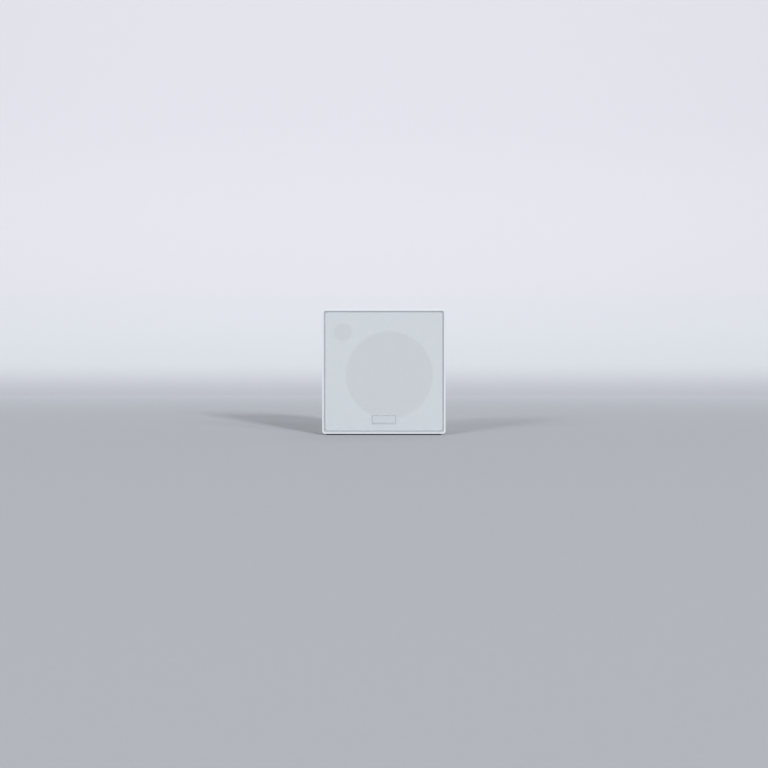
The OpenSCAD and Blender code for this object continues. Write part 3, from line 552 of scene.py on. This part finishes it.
# %% Weave the cloth
weave = Finish("grille_weave", paint(211, 216, 221), roughness=0.85)
thread = 0.0008
wobble = 0.0022
across = weave.sum("ADD", weave.axis("X"), weave.axis("Y"))
upward = weave.sum("ADD", weave.axis("Z"), weave.axis("Y"))
across = weave.sum("ADD", across, weave.sum("MULTIPLY", weave.grain(0.016, detail=1.0), wobble))
upward = weave.sum("ADD", upward, weave.sum("MULTIPLY", weave.grain(0.013, detail=1.0), wobble))
warp_wave = weave.sum("SINE", weave.sum("MULTIPLY", across, math.pi / thread))
weft_wave = weave.sum("SINE", weave.sum("MULTIPLY", upward, math.pi / thread))
crossing = weave.sum("MULTIPLY", warp_wave, weft_wave)
warp_hill = weave.sum("ADD", weave.sum("ABSOLUTE", warp_wave), crossing)
weft_hill = weave.sum("SUBTRACT", weave.sum("ABSOLUTE", weft_wave), crossing)
threads = weave.sum("MULTIPLY", weave.sum("MAXIMUM", warp_hill, weft_hill), 0.5)
weave.tone(threads, 0.80, 1.09)
weave.tone(weave.grain(0.0016, detail=3.0), 0.97, 1.03)
weave.tone(weave.grain(0.03, detail=2.0, stretch=(1.0, 1.0, 0.25)), 0.99, 1.01)
for spot, radius, soft, depth in ((woofer_spot, 0.0736, 0.0035, 0.93), (tweeter_spot, 0.0152, 0.0030, 0.935)):
    weave.tone(weave.span(weave.from_centre(*spot), radius - soft, radius + soft), depth, 1.0)
weave.relief(threads, 0.00016)
cloth.data.materials.append(weave.material)
weave.shader.inputs["Sheen Weight"].default_value = 0.08
weave.shader.inputs["Sheen Roughness"].default_value = 0.6
print("threads to the centimetre:", round(0.01 / thread))

# %% [markdown]
# The badge plate, the foot strips and the panel
#
# The small plate low on the front is bare and satin, with a raised rim. It is nearly the tone of the cloth,
# so it is read by its edges more than its colour: a painted shade darkens the step inside the rim.
# The line's place is a distance from the plate's outline, measured round its corners as well.
#
# The loudspeaker stands on two strips of black rubber. Behind the cloth is a panel of pale pressed board.

# %% Satin badge plate, rubber and board
plate = Finish("satin_plate", paint(198, 203, 209), roughness=0.45)
plate.tone(plate.grain(0.0004, detail=3.0, stretch=(0.03, 1.0, 1.0)), 0.96, 1.03)
plate.relief(plate.grain(0.0004, detail=2.0, stretch=(0.03, 1.0, 1.0)), 0.00002)
plate_low, plate_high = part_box("badge")
plate_corner = 0.002
past = []
for letter, low, high in (("X", plate_low.x, plate_high.x), ("Z", plate_low.z, plate_high.z)):
    short_of = plate.sum("SUBTRACT", plate_corner, plate.to_faces(letter, low, high))
    past.append(plate.sum("MAXIMUM", short_of, 0.0))
past_x, past_z = past
plate_border = plate.sum("SUBTRACT", plate_corner, plate.sum("SQRT", plate.sum(
    "ADD", plate.sum("MULTIPLY", past_x, past_x), plate.sum("MULTIPLY", past_z, past_z))))
field_step = 0.0012
shade_inside, shade_outside = 0.0007, 0.0006
# Painted shade: a dark line along the step inside the rim, broken up by a grain.
step_shade = plate.sum("MULTIPLY", plate.span(plate_border, field_step - shade_outside, field_step),
                   plate.span(plate_border, field_step, field_step + shade_inside, 1.0, 0.0))
patchy = plate.span(plate.grain(0.005, detail=4.0), 0.35, 0.65, 0.45, 1.0)
plate.blotch(plate.sum("MULTIPLY", step_shade, patchy), paint(134, 139, 146))
plate.on("badge")

rubber = Finish("black_rubber", paint(27, 29, 32), roughness=0.7)
rubber.tone(rubber.grain(0.002, detail=4.0), 0.8, 1.25)
rubber.relief(rubber.grain(0.0006, detail=4.0), 0.00008)
rubber.on("feet", "terminal_gasket", "grille_pegs")

board = Finish("pressed_board", paint(178, 180, 182), roughness=0.75)
board.tone(board.grain(0.0015, detail=5.0, stretch=(1.0, 1.0, 0.5)), 0.88, 1.08)
board.relief(board.grain(0.0012, detail=4.0), 0.00010)
board.on("grille_board")

# %% [markdown]
# The back: connector recess, bracket threads and screws
#
# The back has a black moulded cup with a pluggable connector in it, held by four small screws, and four brass
# threads for a wall bracket. Black moulded plastic needs a visible grain and a little gloss, or it reads as a
# hole. Zinc-plated screws are metal with fine wear, and the cross in each screw's head is darkened by dirt
# and painted shade. Brass is turned, so its marks run round.

# %% Plastics and metals of the back
black_plastic = Finish("black_moulding", paint(38, 39, 42), roughness=0.5)
black_plastic.tone(black_plastic.grain(0.012, detail=5.0), 0.80, 1.25)
black_plastic.tone(black_plastic.grain(0.0012, detail=3.0), 0.55, 1.45)
black_plastic.gloss(black_plastic.grain(0.0016, detail=3.0), 0.30, 0.62)
black_plastic.relief(black_plastic.grain(0.0012, detail=3.0), 0.00016)
black_plastic.on("terminal_cup", "tweeter_flange")

header = Finish("connector_nylon", paint(36, 104, 72), roughness=0.42)
header.tone(header.grain(0.003, detail=3.0), 0.9, 1.12)
header.relief(header.grain(0.0004, detail=2.0), 0.00003)
header.on("connector_header")


def zinc_plate(name):
    """Zinc-plated steel with the cloudy wear of handling."""
    zinc = Finish(name, paint(176, 178, 182), roughness=0.34, metal=1.0)
    zinc.tone(zinc.grain(0.003, detail=6.0), 0.82, 1.1)
    zinc.gloss(zinc.grain(0.002, detail=5.0), 0.22, 0.5)
    zinc.relief(zinc.grain(0.0004, detail=3.0), 0.00002)
    return zinc


zinc_plate("zinc_plate").on("crossover_standoff_screws", "woofer_top_plate", "woofer_yoke",
                            "tweeter_pole_cap", "tweeter_cup")
screw_zinc = zinc_plate("screw_zinc")
heads_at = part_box("terminal_screws")[1].y
dirt_and_shade_full, dirt_and_shade_none = 0.0010, 0.0003
# Dirt and painted shade: the cross in each screw head darkens with depth.
deep = screw_zinc.span(screw_zinc.axis("Y"), heads_at - dirt_and_shade_full, heads_at - dirt_and_shade_none, 1.0, 0.0)
screw_zinc.blotch(deep, paint(46, 46, 48))
screw_zinc.on("terminal_screws")

brass = Finish("turned_brass", paint(196, 164, 96), roughness=0.3, metal=1.0)
brass.tone(brass.grain(0.004, detail=5.0), 0.85, 1.1)
brass.gloss(brass.grain(0.0015, detail=4.0), 0.2, 0.42)
brass.relief(brass.grain(0.0003, detail=2.0, stretch=(1.0, 8.0, 1.0)), 0.00002)
brass.on("connector_pins", "woofer_terminals", "tweeter_terminals")

# %% [markdown]
# Real threads in the bracket inserts
#
# Four brass inserts on the back take the screws of a wall bracket. CAD gives them plain bores, because a
# thread is too fine for its checks. Here each insert is turned again as a lathe would do it, with two grip
# grooves outside and an M6 thread inside. A thread is a groove that climbs one pitch in every turn, so the
# bore's radius depends on the depth and the angle together. A small countersink leads the screw in.

# %% Turn the inserts
insert_low, insert_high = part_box("threaded_inserts")
insert_outer = 0.004
insert_at = (insert_high.x - insert_outer, insert_high.z - insert_outer)
insert_length = insert_high.y - insert_low.y
core, thread_deep, pitch, mouth = 0.0025, 0.0004, 0.001, 0.0032
flank_slope = 1.6
bore_steps = 90
inner_chamfer, back_chamfer = 0.0004, 0.0002
groove_starts = (0.0086, 0.0046)
groove_shape = ((0.0, 0.0), (0.0001, 0.0005), (0.0005, 0.0005), (0.0006, 0.0))


def bore_radius(depth, angle):
    """The threaded bore's radius at a depth from the back and an angle, widened at its mouth."""
    turn_share = (depth / pitch + angle / (2 * math.pi)) % 1.0
    flank = min(1.0, flank_slope * abs(2 * turn_share - 1))
    return max(core + thread_deep * flank, mouth - depth)


def turned_insert(name, x, z, sides=40):
    """One insert: rings from the inner end, along the outside to the back face, and down through the bore."""
    outside = [(insert_length, core + thread_deep), (insert_length, insert_outer - inner_chamfer),
               (insert_length - inner_chamfer, insert_outer)]
    for start in groove_starts:
        outside += [(start - along, insert_outer - deep) for along, deep in groove_shape]
    outside += [(back_chamfer, insert_outer), (0.0, insert_outer - back_chamfer), (0.0, mouth)]
    rings = [[(depth, radius)] * sides for depth, radius in outside]
    angles = [2 * math.pi * k / sides for k in range(sides)]
    for i in range(1, bore_steps):
        depth = insert_length * i / bore_steps
        rings.append([(depth, bore_radius(depth, a)) for a in angles])
    points = [(x + r * math.cos(a), insert_high.y - d, z + r * math.sin(a))
              for ring_points in rings for a, (d, r) in zip(angles, ring_points)]
    count = len(rings)
    quads = [((i % count) * sides + k, (i % count) * sides + (k + 1) % sides,
              ((i + 1) % count) * sides + (k + 1) % sides, ((i + 1) % count) * sides + k)
             for i in range(count) for k in range(sides)]
    mesh = bpy.data.meshes.new(name)
    mesh.from_pydata(points, [], quads)
    work = bmesh.new()
    work.from_mesh(mesh)
    bmesh.ops.recalc_face_normals(work, faces=work.faces[:])
    work.to_mesh(mesh)
    work.free()
    mesh.materials.append(brass.material)
    insert = put_in_scene(name, mesh)
    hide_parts("threaded_inserts")
    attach(insert, "speaker")


middle_z = (insert_low.z + insert_high.z) / 2
rise = insert_at[1] - middle_z
for side, x in (("left", -insert_at[0]), ("right", insert_at[0])):
    for level, z in (("low", middle_z - rise), ("high", middle_z + rise)):
        turned_insert(f"bracket_insert_{side}_{level}", x, z)
print("insert bores carry", round(insert_length / pitch), "turns of thread")

# %% [markdown]
# Inside: the woofer
#
# Under the cloth sits a complete drive unit. Its basket is black powder-coated steel, whose paint flows
# into a fine orange-peel skin. The cone is pressed paper pulp with visible fibres, the magnet is grey-black
# ferrite, and the spider is a brown resin-dipped cloth. Each gets its grain at the size that the real one
# has.

# %% Basket, cone, magnet and motor
black_steel = Finish("powder_coat", paint(44, 45, 48), roughness=0.48)
black_steel.tone(black_steel.grain(0.01, detail=3.0), 0.9, 1.1)
black_steel.relief(black_steel.grain(0.0014, detail=2.0), 0.00010)
black_steel.on("woofer_basket", "baffle_screws", "woofer_screws", "tweeter_screws", "peg_sockets")

pulp = Finish("paper_pulp", paint(84, 87, 92), roughness=0.88)
pulp.tone(pulp.grain(0.0022, detail=6.0), 0.8, 1.25)
pulp.blotch(pulp.span(pulp.grain(0.0011, detail=2.0, stretch=(1.0, 1.0, 3.0)), 0.62, 0.72, 0.0, 0.35),
            paint(150, 152, 156))
pulp.relief(pulp.grain(0.0012, detail=5.0), 0.00012)
pulp.on("woofer_cone", "woofer_dust_cap")

ferrite = Finish("ferrite", paint(58, 58, 60), roughness=0.62)
ferrite.tone(ferrite.grain(0.0008, detail=6.0), 0.75, 1.25)
ferrite.relief(ferrite.grain(0.0007, detail=4.0), 0.00008)
ferrite.on("woofer_magnet")

bright_nickel = Finish("nickel_plate", paint(190, 188, 182), roughness=0.22, metal=1.0)
bright_nickel.tone(bright_nickel.grain(0.004, detail=4.0), 0.9, 1.06)
bright_nickel.gloss(bright_nickel.grain(0.001, detail=4.0), 0.16, 0.32)
bright_nickel.on("tweeter_magnet")

film = Finish("former_film", paint(168, 122, 58), roughness=0.35)
film.tone(film.grain(0.003, detail=3.0), 0.88, 1.1)
film.relief(film.grain(0.0006, detail=2.0, stretch=(1.0, 5.0, 1.0)), 0.00002)
film.on("woofer_former")

silk = Finish("dome_silk", paint(40, 40, 44), roughness=0.6)
silk.tone(silk.grain(0.0005, detail=2.0), 0.8, 1.3)
silk.relief(silk.grain(0.0004, detail=2.0), 0.00004)
silk.on("tweeter_dome")

# %% [markdown]
# Copper and foam
#
# A coil is wound wire, so its surface is a stack of fine rings. A sine wave along the winding's axis gives
# the rings: the drive units are wound along Y, and the crossover's coils stand up, so theirs run along Z.
# The sealing gaskets are closed-cell foam.

# %% Windings and soft seals
def wound_copper(name, letter, pitch):
    """Enamelled copper wire, wound in rings along one axis."""
    wire = Finish(name, paint(176, 96, 52), roughness=0.3, metal=0.85)
    rings = wire.sum("ABSOLUTE", wire.sum("SINE", wire.sum("MULTIPLY", wire.axis(letter), math.pi / pitch)))
    wire.tone(rings, 0.55, 1.1)
    wire.tone(wire.grain(0.004, detail=3.0), 0.92, 1.06)
    wire.relief(rings, pitch / 3)
    return wire


wound_copper("voice_coil_copper", "Y", 0.0003).on("woofer_voice_coil", "tweeter_coil")
wound_copper("inductor_copper", "Z", 0.0009).on("inductors")

foam = Finish("gasket_foam", paint(36, 37, 40), roughness=0.95)
foam.tone(foam.grain(0.0007, detail=3.0), 0.6, 1.4)
foam.relief(foam.grain(0.0006, detail=3.0), 0.00015)
foam.on("baffle_gasket", "woofer_gasket")

# %% [markdown]
# The felt pad
#
# A pad of grey felt is glued to the inside of the right wall, to soak up sound. Felt has no hard edges: the
# pad is flat where the glue holds it, crowned on its free face, and its corners pull in a little. A cage of a
# few faces is shaped here, and a subdivision surface rounds it. A noise pushes the free face about by tenths
# of a millimetre, as loose fibres do.

# %% Lay the felt pad
felt = Finish("grey_felt", paint(146, 146, 142), roughness=0.95)
felt.tone(felt.grain(0.0018, detail=6.0, stretch=(1.0, 0.4, 1.0)), 0.75, 1.18)
felt.relief(felt.grain(0.0016, detail=6.0), 0.0004)

pad_low, pad_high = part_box("damping_pad")
pad_middle = (pad_low + pad_high) / 2
pad_half = (pad_high - pad_low) / 2
long_steps, tall_steps = 18, 14
corner_pull = 0.03
crown = 0.30
lump_height, lumps_across = 0.05, 4


def pad_point(i, j, layer):
    """A point of the pad's cage: layer 0 lies on the wall, 1 is half way out and 2 is the free face."""
    u = 2 * i / long_steps - 1
    v = 2 * j / tall_steps - 1
    border = max(abs(u), abs(v))
    pull = 1 - corner_pull * u * u * v * v
    out = (0.0, 0.5, 1.0 - crown * border ** 4)[layer]
    if layer == 2:
        out -= lump_height * (1 + noise.noise(Vector((lumps_across * u, lumps_across * v, 0.5))))
    return (pad_high.x - 2 * pad_half.x * out, pad_middle.y + pad_half.y * u * pull,
            pad_middle.z + pad_half.z * v * pull)


def pad_cage():
    """Front, back and side band of the pad as one closed cage."""
    cage = bmesh.new()
    made = {}

    def corner(i, j, layer):
        if (i, j, layer) not in made:
            made[i, j, layer] = cage.verts.new(pad_point(i, j, layer))
        return made[i, j, layer]

    for i in range(long_steps):
        for j in range(tall_steps):
            for layer in (0, 2):
                cage.faces.new([corner(i, j, layer), corner(i + 1, j, layer), corner(i + 1, j + 1, layer),
                                corner(i, j + 1, layer)])
    walk = ([(i, 0) for i in range(long_steps)] + [(long_steps, j) for j in range(tall_steps)]
            + [(i, tall_steps) for i in range(long_steps, 0, -1)]
            + [(0, j) for j in range(tall_steps, 0, -1)])
    for here, there in zip(walk, walk[1:] + walk[:1]):
        for layer in (0, 1):
            cage.faces.new([corner(*here, layer), corner(*there, layer), corner(*there, layer + 1),
                            corner(*here, layer + 1)])
    bmesh.ops.recalc_face_normals(cage, faces=cage.faces[:])
    return cage


cage = pad_cage()
pad_mesh = bpy.data.meshes.new("felt_pad")
cage.to_mesh(pad_mesh)
cage.free()
pad_mesh.shade_smooth()
pad_mesh.materials.append(felt.material)
pad = put_in_scene("felt_pad", pad_mesh)
rounder = pad.modifiers.new("soft_edges", "SUBSURF")
rounder.levels = rounder.render_levels = 2
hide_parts("damping_pad")
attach(pad, "speaker")
print("felt pad of", len(pad_mesh.polygons), "faces before rounding")

# %% [markdown]
# The crossover
#
# The crossover is a small circuit board on the cabinet's floor. Its green lacquer is glossy over the weave
# of the glass cloth, and lighter where copper runs below it. On it stand two yellow film capacitors and a
# white cement resistor, and coloured insulated wires lead from it to the connector and the drive units.

# %% Circuit board, parts and wires
lacquer = Finish("board_lacquer", paint(34, 92, 58), roughness=0.35)
tracks = lacquer.span(lacquer.grain(0.006, detail=0.0, stretch=(1.0, 0.35, 1.0)), 0.5, 0.52)
lacquer.tone(tracks, 0.85, 1.3)
lacquer.tone(lacquer.grain(0.0008, detail=2.0), 0.93, 1.07)
lacquer.relief(tracks, 0.00004)
lacquer.on("crossover_board")

capacitor = Finish("capacitor_film", paint(214, 184, 78), roughness=0.42)
capacitor.tone(capacitor.grain(0.003, detail=3.0, stretch=(0.3, 1.0, 1.0)), 0.92, 1.06)
capacitor.relief(capacitor.grain(0.002, detail=2.0, stretch=(0.3, 1.0, 1.0)), 0.00005)
capacitor.on("capacitors")

cement = Finish("resistor_cement", paint(222, 219, 208), roughness=0.85)
cement.tone(cement.grain(0.0012, detail=5.0), 0.88, 1.06)
cement.relief(cement.grain(0.0008, detail=4.0), 0.0001)
cement.on("resistor")


def insulation(name, colour):
    """The smooth plastic coat of a hook-up wire, with faint marks of the strands under it."""
    coat = Finish(name, colour, roughness=0.4)
    coat.tone(coat.grain(0.004, detail=2.0), 0.9, 1.1)
    coat.relief(coat.grain(0.001, detail=1.0), 0.00003)
    return coat


insulation("red_wire", paint(176, 32, 34)).on("input_wires")
insulation("black_wire", paint(34, 34, 38)).on("woofer_wires")
insulation("blue_wire", paint(44, 74, 150)).on("tweeter_wires")

# %% [markdown]
# Soft rings that flex with the cones
#
# A cone is carried by a half-roll of rubber at its rim and a corrugated cloth, the spider, at its neck. Their
# outer edges are glued to the basket and their inner edges move with the cone. Here each ring is cut into
# wedges round its centre. Their shape is copied from the CAD ring, and at rest they meet exactly. Thirty of
# them go round the woofer's rings, and twelve are enough round the dome, which moves by only a third of a
# millimetre.

# %% Cut the rings into wedges
def wedges(node, name, centre, finish, count):
    """Copies a CAD ring as wedges, cut along radii round its centre."""
    axis = Vector((centre[0], 0.0, centre[1]))
    half = math.pi / count
    for k in range(count):
        middle = 2 * half * k
        cut = bmesh.new()
        cut.from_mesh(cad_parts[node].data)
        for angle, keep in ((middle - half, 1), (middle + half, -1)):
            side = Vector((-math.sin(angle), 0.0, math.cos(angle))) * keep
            bmesh.ops.bisect_plane(cut, geom=cut.verts[:] + cut.edges[:] + cut.faces[:], dist=1e-7,
                                   plane_co=axis, plane_no=side, clear_inner=True)
        mesh = bpy.data.meshes.new(f"{name}_{k + 1:02d}")
        cut.to_mesh(mesh)
        cut.free()
        mesh.shade_smooth()
        mesh.materials.clear()
        mesh.materials.append(finish.material)
        wedge = put_in_scene(mesh.name, mesh)
        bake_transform(wedge)
        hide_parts(node)
    print(name, "cut into", count, "wedges of", len(mesh.polygons), "faces")


roll_rubber = Finish("roll_rubber", paint(34, 35, 37), roughness=0.55)
roll_rubber.tone(roll_rubber.grain(0.003, detail=4.0), 0.85, 1.2)
roll_rubber.relief(roll_rubber.grain(0.0009, detail=3.0), 0.00003)
wedges("woofer_surround", "woofer_roll", woofer_spot,
       finish=roll_rubber, count=30)
wedges("tweeter_surround", "dome_roll", tweeter_spot,
       finish=roll_rubber, count=12)

dipped_cloth = Finish("dipped_cloth", paint(150, 112, 62), roughness=0.8)
dipped_cloth.tone(dipped_cloth.grain(0.0007, detail=1.0), 0.75, 1.2)
dipped_cloth.relief(dipped_cloth.grain(0.0006, detail=1.0), 0.00008)
wedges("woofer_spider", "spider", woofer_spot,
       finish=dipped_cloth, count=30)

# %% [markdown]
# Leads to the voice coil
#
# Two short braided leads hang between the terminal strip and the cone, following the strip at one end and the
# cone at the other.

# %% Braided leads
braid = Finish("lead_braid", paint(182, 120, 78), roughness=0.4, metal=0.9)
strand = 0.0004
slant = braid.sum("ADD", braid.axis("X"), braid.axis("Z"))
twist = braid.sum("ABSOLUTE", braid.sum("SINE", braid.sum("MULTIPLY", slant, math.pi / strand)))
braid.tone(twist, 0.6, 1.1)
braid.relief(twist, 0.0001)
lead_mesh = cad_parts["woofer_tinsel_leads"].data.copy()
lead_mesh.name = "coil_leads"
lead_mesh.materials.clear()
lead_mesh.materials.append(braid.material)
leads = put_in_scene("coil_leads", lead_mesh)
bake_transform(leads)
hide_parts("woofer_tinsel_leads")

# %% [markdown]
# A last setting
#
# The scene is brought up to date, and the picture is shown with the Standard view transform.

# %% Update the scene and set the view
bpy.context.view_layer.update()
view = bpy.context.scene.view_settings
view.view_transform = "Standard"
